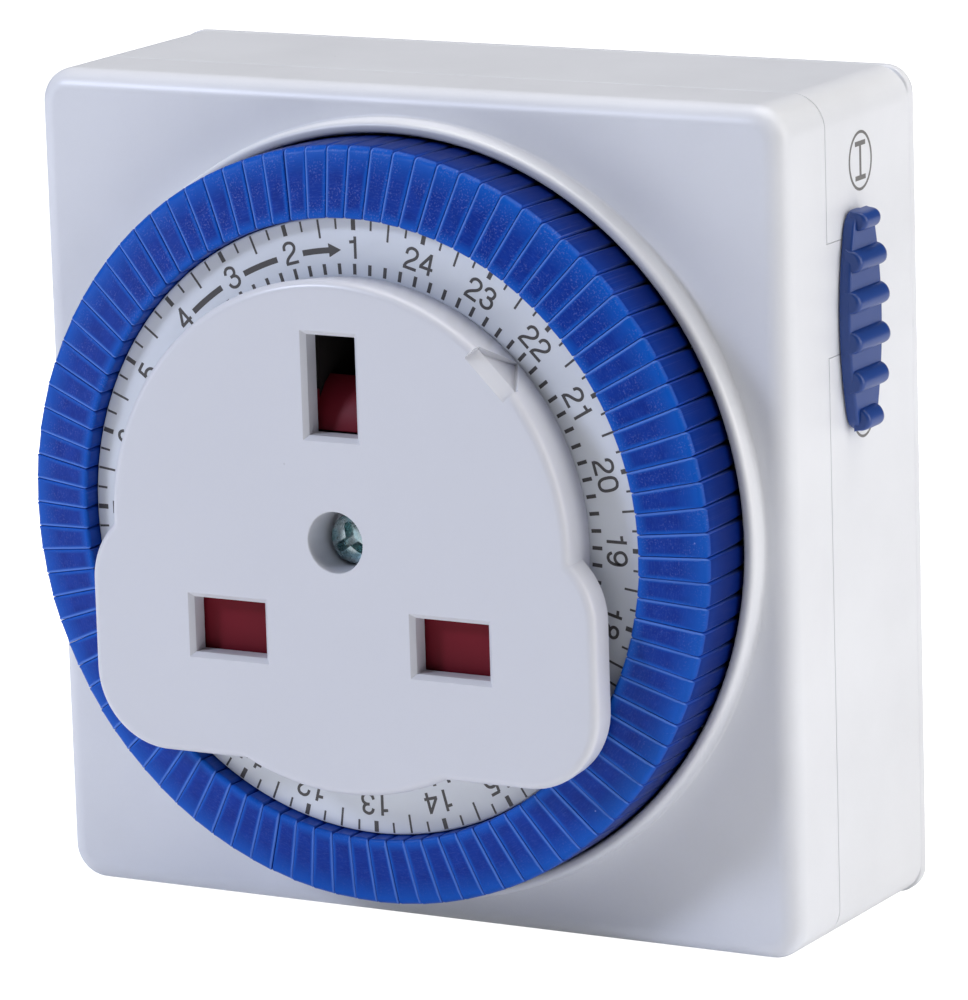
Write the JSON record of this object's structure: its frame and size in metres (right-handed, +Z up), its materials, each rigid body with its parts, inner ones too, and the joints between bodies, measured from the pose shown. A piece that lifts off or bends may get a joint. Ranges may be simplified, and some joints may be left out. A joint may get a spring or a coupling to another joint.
{
  "type": "plug-in segment timer socket",
  "caption": "Plug-in mains timer: a clock dial ringed with push-in quarter-hour segments around a shuttered three-pin socket, with a side override slider and a three-pin plug behind.",
  "frame": {"origin": "where the dial's axis meets the flat rear face that rests against the wall socket", "axes": "+Z up, -Y out of the socket face towards the user, +Y along the plug pins into the wall, +X to the right seen from the front"},
  "size_m": [0.0765, 0.062, 0.075],
  "materials": {
    "case_white": "fine satin, lightly textured",
    "cover_white": "smooth satin with fine scuffs",
    "segment_blue": "smooth satin, fine scratches",
    "switch_blue": "satin",
    "dial_white": "smooth, printed in dark grey",
    "drum_white": "satin",
    "core_plastic": "satin",
    "shutter_red": "gloss",
    "brass": "drawn and polished",
    "zinc_steel": "zinc plated",
    "spring_steel": "bright wire",
    "sleeve_black": "moulded, satin",
    "gear_acetal": "moulded, natural",
    "motor_steel": "pressed, dull",
    "coil_copper": "lacquered copper winding on a bobbin",
    "lever_grey": "satin"
  },
  "bodies": {
    "base": {"front_case": "case_white", "rear_case": "case_white", "case_screw_1": "zinc_steel", "case_screw_2": "zinc_steel", "case_screw_3": "zinc_steel", "case_screw_4": "zinc_steel", "socket_cover": "cover_white", "centre_screw": "zinc_steel", "socket_core": "core_plastic", "shutter_spring": "spring_steel", "neutral_contact": "brass", "live_contact": "brass", "earth_contact": "brass", "live_pin": "brass", "neutral_pin": "brass", "earth_pin": "brass", "live_pin_sleeve": "sleeve_black", "neutral_pin_sleeve": "sleeve_black", "gear_arbor_1": "zinc_steel", "gear_arbor_2": "zinc_steel", "gear_plate": "zinc_steel", "motor_can": "motor_steel", "motor_coil": "coil_copper", "motor_lid": "motor_steel", "fixed_contact": "brass", "lever_pivot_pin": "zinc_steel"},
    "dial": {"dial_drum": "drum_white", "dial_face": "dial_white"},
    "shutter": {"shutter": "shutter_red"},
    "override_switch": {"override_switch": "switch_blue"},
    "trip_lever": {"trip_lever": "lever_grey"},
    "moving_contact": {"moving_contact": "brass"},
    "gear_2": {"gear_2": "gear_acetal"},
    "gear_1": {"gear_1": "gear_acetal"},
    "motor_pinion": {"motor_pinion": "brass"},
    "hour_01": {"segments_hour_01": "segment_blue"},
    "hour_02": {"segments_hour_02": "segment_blue"},
    "hour_03": {"segments_hour_03": "segment_blue"},
    "hour_04": {"segments_hour_04": "segment_blue"},
    "hour_05": {"segments_hour_05": "segment_blue"},
    "hour_06": {"segments_hour_06": "segment_blue"},
    "hour_07": {"segments_hour_07": "segment_blue"},
    "hour_08": {"segments_hour_08": "segment_blue"},
    "hour_09": {"segments_hour_09": "segment_blue"},
    "hour_10": {"segments_hour_10": "segment_blue"},
    "hour_11": {"segments_hour_11": "segment_blue"},
    "hour_12": {"segments_hour_12": "segment_blue"},
    "hour_13": {"segments_hour_13": "segment_blue"},
    "hour_14": {"segments_hour_14": "segment_blue"},
    "hour_15": {"segments_hour_15": "segment_blue"},
    "hour_16": {"segments_hour_16": "segment_blue"},
    "hour_17": {"segments_hour_17": "segment_blue"},
    "hour_18": {"segments_hour_18": "segment_blue"},
    "hour_19": {"segments_hour_19": "segment_blue"},
    "hour_20": {"segments_hour_20": "segment_blue"},
    "hour_21": {"segments_hour_21": "segment_blue"},
    "hour_22": {"segments_hour_22": "segment_blue"},
    "hour_23": {"segments_hour_23": "segment_blue"},
    "hour_24": {"segments_hour_24": "segment_blue"}
  },
  "joints": [
    {"name": "dial_spin", "type": "hinge", "parent": "base", "child": "dial", "pos_m": [0, -0.034, 0], "axis": [0, 1, 0], "continuous": true},
    {"name": "override_slide", "type": "slide", "parent": "base", "child": "override_switch", "axis": [0, 0, 1], "range_m": [0, 0.006]},
    {"name": "shutter_slide", "type": "slide", "parent": "base", "child": "shutter", "axis": [0, 0, -1], "range_m": [0, 0.0063], "deforming": ["shutter_spring"]},
    {"name": "lever_tilt", "type": "hinge", "parent": "base", "child": "trip_lever", "pos_m": [0.0306, -0.0156, 0.003], "axis": [1, 0, 0], "range_deg": [0, 4.5]},
    {"name": "contact_tilt", "type": "hinge", "parent": "base", "child": "moving_contact", "pos_m": [0.0152, -0.0092, -0.00875], "axis": [0, 0, 1], "range_deg": [0, 4.5]},
    {"name": "gear_2_spin", "type": "hinge", "parent": "base", "child": "gear_2", "pos_m": [-0.02367, -0.0179, -0.01931], "axis": [0, 1, 0], "continuous": true},
    {"name": "gear_1_spin", "type": "hinge", "parent": "base", "child": "gear_1", "pos_m": [-0.0122, -0.0158, -0.02389], "axis": [0, 1, 0], "continuous": true},
    {"name": "motor_spin", "type": "hinge", "parent": "base", "child": "motor_pinion", "pos_m": [0, -0.015, -0.022], "axis": [0, 1, 0], "continuous": true},
    {"name": "hour_01_press", "type": "slide", "parent": "dial", "child": "hour_01", "axis": [0, 1, 0], "range_m": [0, 0.003]},
    {"name": "hour_02_press", "type": "slide", "parent": "dial", "child": "hour_02", "axis": [0, 1, 0], "range_m": [0, 0.003]},
    {"name": "hour_03_press", "type": "slide", "parent": "dial", "child": "hour_03", "axis": [0, 1, 0], "range_m": [0, 0.003]},
    {"name": "hour_04_press", "type": "slide", "parent": "dial", "child": "hour_04", "axis": [0, 1, 0], "range_m": [0, 0.003]},
    {"name": "hour_05_press", "type": "slide", "parent": "dial", "child": "hour_05", "axis": [0, 1, 0], "range_m": [0, 0.003]},
    {"name": "hour_06_press", "type": "slide", "parent": "dial", "child": "hour_06", "axis": [0, 1, 0], "range_m": [0, 0.003]},
    {"name": "hour_07_press", "type": "slide", "parent": "dial", "child": "hour_07", "axis": [0, 1, 0], "range_m": [0, 0.003]},
    {"name": "hour_08_press", "type": "slide", "parent": "dial", "child": "hour_08", "axis": [0, 1, 0], "range_m": [0, 0.003]},
    {"name": "hour_09_press", "type": "slide", "parent": "dial", "child": "hour_09", "axis": [0, 1, 0], "range_m": [0, 0.003]},
    {"name": "hour_10_press", "type": "slide", "parent": "dial", "child": "hour_10", "axis": [0, 1, 0], "range_m": [0, 0.003]},
    {"name": "hour_11_press", "type": "slide", "parent": "dial", "child": "hour_11", "axis": [0, 1, 0], "range_m": [0, 0.003]},
    {"name": "hour_12_press", "type": "slide", "parent": "dial", "child": "hour_12", "axis": [0, 1, 0], "range_m": [0, 0.003]},
    {"name": "hour_13_press", "type": "slide", "parent": "dial", "child": "hour_13", "axis": [0, 1, 0], "range_m": [0, 0.003]},
    {"name": "hour_14_press", "type": "slide", "parent": "dial", "child": "hour_14", "axis": [0, 1, 0], "range_m": [0, 0.003]},
    {"name": "hour_15_press", "type": "slide", "parent": "dial", "child": "hour_15", "axis": [0, 1, 0], "range_m": [0, 0.003]},
    {"name": "hour_16_press", "type": "slide", "parent": "dial", "child": "hour_16", "axis": [0, 1, 0], "range_m": [0, 0.003]},
    {"name": "hour_17_press", "type": "slide", "parent": "dial", "child": "hour_17", "axis": [0, 1, 0], "range_m": [0, 0.003]},
    {"name": "hour_18_press", "type": "slide", "parent": "dial", "child": "hour_18", "axis": [0, 1, 0], "range_m": [0, 0.003]},
    {"name": "hour_19_press", "type": "slide", "parent": "dial", "child": "hour_19", "axis": [0, 1, 0], "range_m": [0, 0.003]},
    {"name": "hour_20_press", "type": "slide", "parent": "dial", "child": "hour_20", "axis": [0, 1, 0], "range_m": [0, 0.003]},
    {"name": "hour_21_press", "type": "slide", "parent": "dial", "child": "hour_21", "axis": [0, 1, 0], "range_m": [0, 0.003]},
    {"name": "hour_22_press", "type": "slide", "parent": "dial", "child": "hour_22", "axis": [0, 1, 0], "range_m": [0, 0.003]},
    {"name": "hour_23_press", "type": "slide", "parent": "dial", "child": "hour_23", "axis": [0, 1, 0], "range_m": [0, 0.003]},
    {"name": "hour_24_press", "type": "slide", "parent": "dial", "child": "hour_24", "axis": [0, 1, 0], "range_m": [0, 0.003]}
  ],
  "couplings": [
    {"joint": "gear_2_spin", "follows": "dial_spin", "ratio": -8.4},
    {"joint": "gear_1_spin", "follows": "dial_spin", "ratio": 31.5},
    {"joint": "motor_spin", "follows": "dial_spin", "ratio": -118.12},
    {"joint": "contact_tilt", "follows": "lever_tilt", "ratio": 1}
  ]
}
